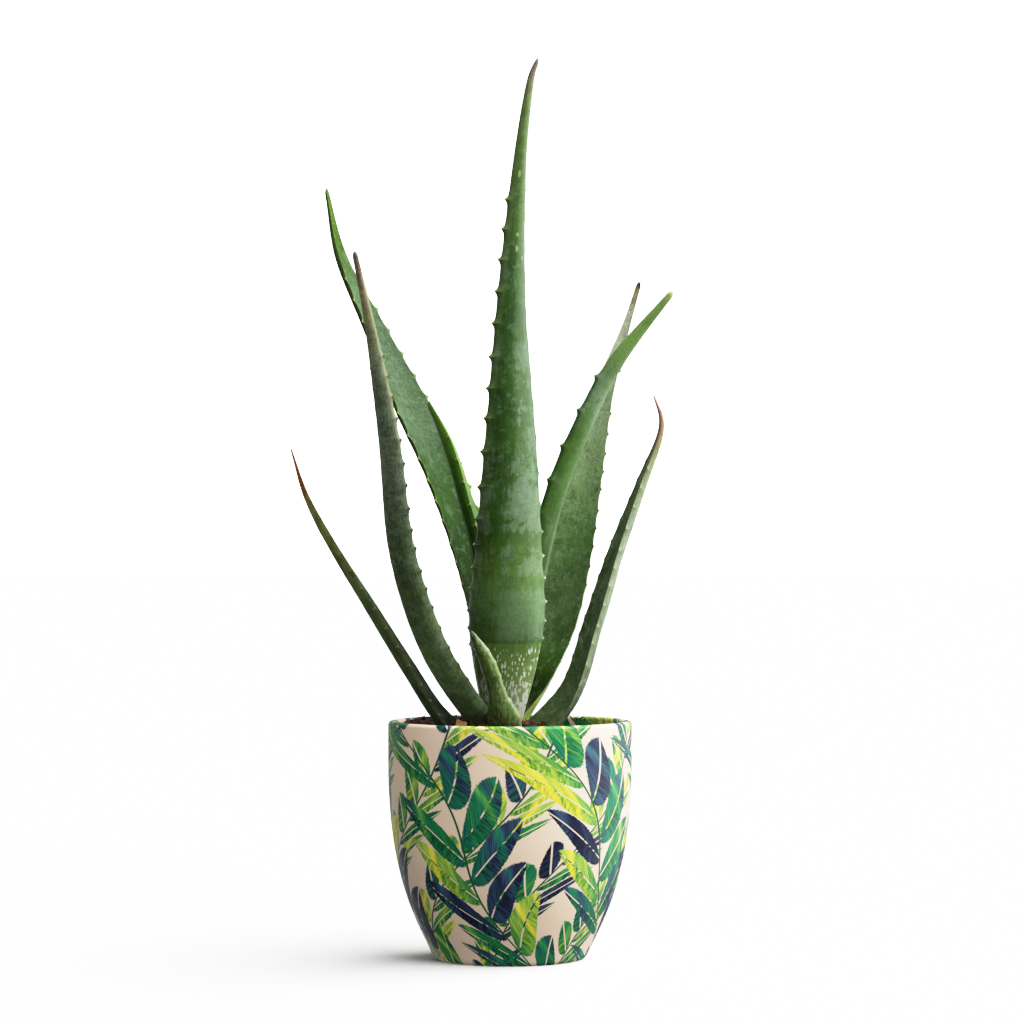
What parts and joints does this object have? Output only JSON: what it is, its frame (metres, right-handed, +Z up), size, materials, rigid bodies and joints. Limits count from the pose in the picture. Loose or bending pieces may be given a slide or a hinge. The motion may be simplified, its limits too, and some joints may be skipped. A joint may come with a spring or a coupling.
{
  "type": "potted aloe plant",
  "caption": "Young aloe vera with thick, toothed, spreading leaves in a rounded ceramic pot filled with potting soil.",
  "frame": {"origin": "centre of the pot's flat foot, on the surface that it stands on", "axes": "+Z up along the pot's axis, -Y to the side where the tall leaf shows its outer face, +X to the right of it"},
  "size_m": [0.2176, 0.1683, 0.517],
  "materials": {
    "pot": "satin glaze, cream with a printed pattern of green, blue and yellow foliage",
    "soil": "dark moist potting mix with fibres and a few bark flakes",
    "stem": "pale, fibrous",
    "leaf": "smooth waxy skin, green with a grey bloom and pale teeth"
  },
  "bodies": {
    "root": {"pot": "pot", "soil": "soil", "stem_and_roots": "stem", "leaf_tall_front": "leaf", "leaf_back_left": "leaf", "leaf_front_left": "leaf", "leaf_low_left": "leaf", "leaf_inner_left": "leaf", "leaf_pup_front": "leaf", "leaf_inner_right": "leaf", "leaf_back_right": "leaf", "leaf_low_right": "leaf"}
  },
  "joints": []
}
